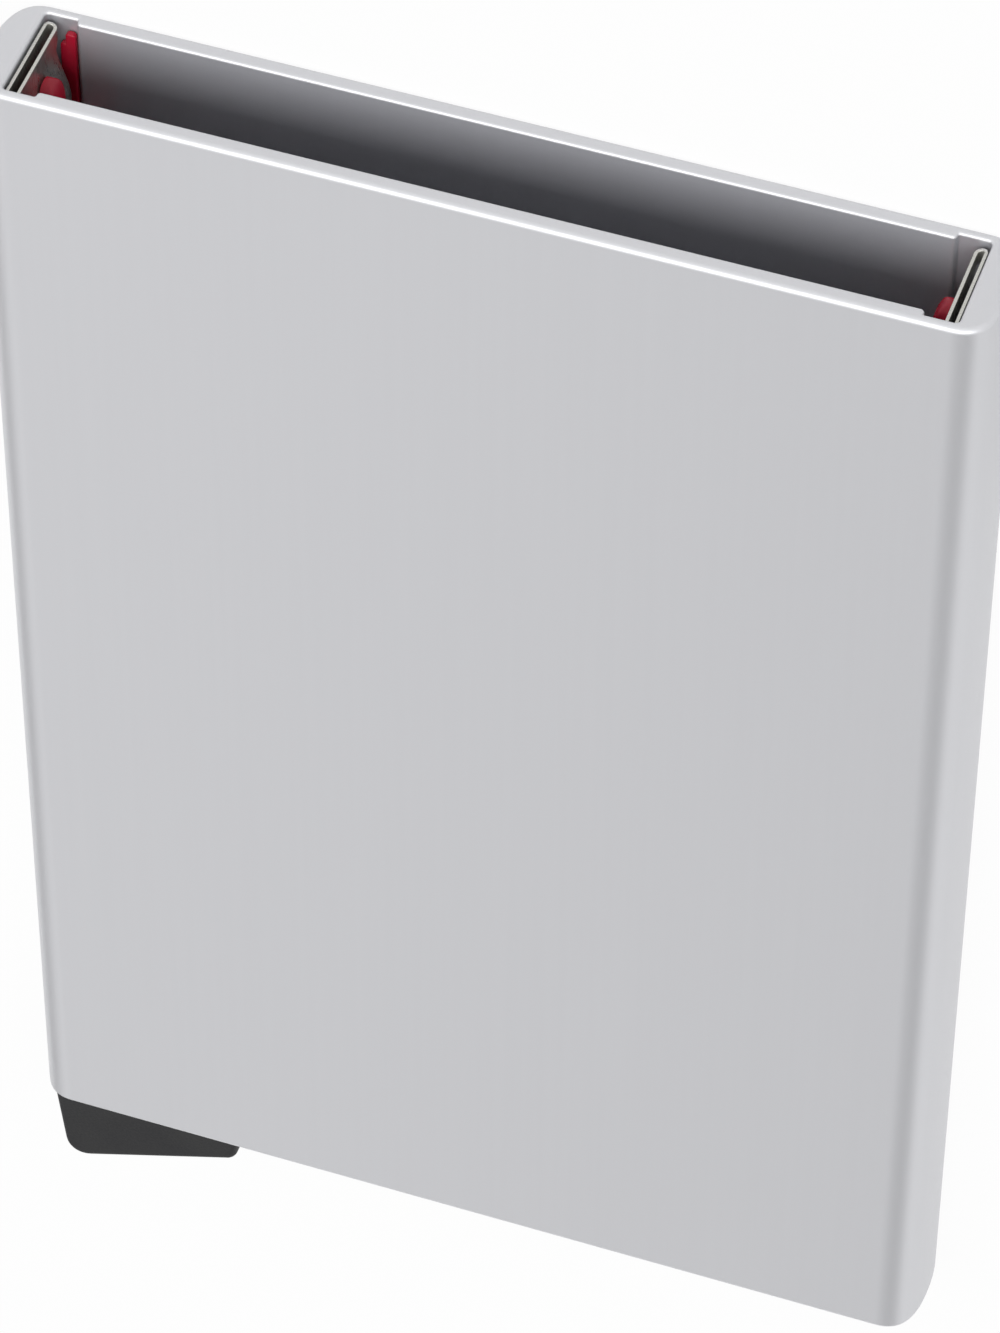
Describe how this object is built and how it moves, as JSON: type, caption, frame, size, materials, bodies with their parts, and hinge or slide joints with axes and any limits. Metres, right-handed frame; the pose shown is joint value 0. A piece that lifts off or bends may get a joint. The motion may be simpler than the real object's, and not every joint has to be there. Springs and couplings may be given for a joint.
{
  "type": "card protector",
  "caption": "Flat aluminium card case, open at one end, with sprung rubber grips beside the slot and a hinged stepped lever whose trigger fans the cards out.",
  "frame": {"origin": "middle of the tube's flat back face, on which the case lies", "axes": "+X across the case, away from the trigger; +Y along the case to the card mouth; +Z out of the front face"},
  "size_m": [0.063, 0.1025, 0.0083],
  "materials": {
    "anodised_aluminium": "silver anodised, fine satin",
    "black_moulding": "matt black moulded plastic",
    "pin_steel": "ground steel dowel",
    "charcoal_moulding": "fine-grained charcoal moulded plastic",
    "spring_steel": "bright rolled stainless strip",
    "red_rubber": "soft satin red rubber"
  },
  "bodies": {
    "case": {"case_tube": "anodised_aluminium", "pivot_block": "black_moulding", "bottom_cover": "black_moulding", "pivot_pin": "pin_steel", "left_spring_clip": "spring_steel", "right_spring_clip": "spring_steel"},
    "lever": {"ejector_lever": "charcoal_moulding"},
    "left_grip": {"left_grip_pad": "red_rubber"},
    "right_grip": {"right_grip_pad": "red_rubber"}
  },
  "joints": [
    {"name": "lever_pivot", "type": "hinge", "parent": "case", "child": "lever", "pos_m": [-0.0235, -0.0429, 0.00415], "axis": [0, 0, 1], "range_deg": [0, 35]},
    {"name": "left_grip_press", "type": "slide", "parent": "case", "child": "left_grip", "axis": [-1, 0, 0], "range_m": [0, 0.00045], "stiffness_N_per_m": 2000, "springref_m": -0.0002, "deforming": ["left_spring_clip"]},
    {"name": "right_grip_press", "type": "slide", "parent": "case", "child": "right_grip", "axis": [1, 0, 0], "range_m": [0, 0.00045], "stiffness_N_per_m": 2000, "springref_m": -0.0002, "deforming": ["right_spring_clip"]}
  ]
}
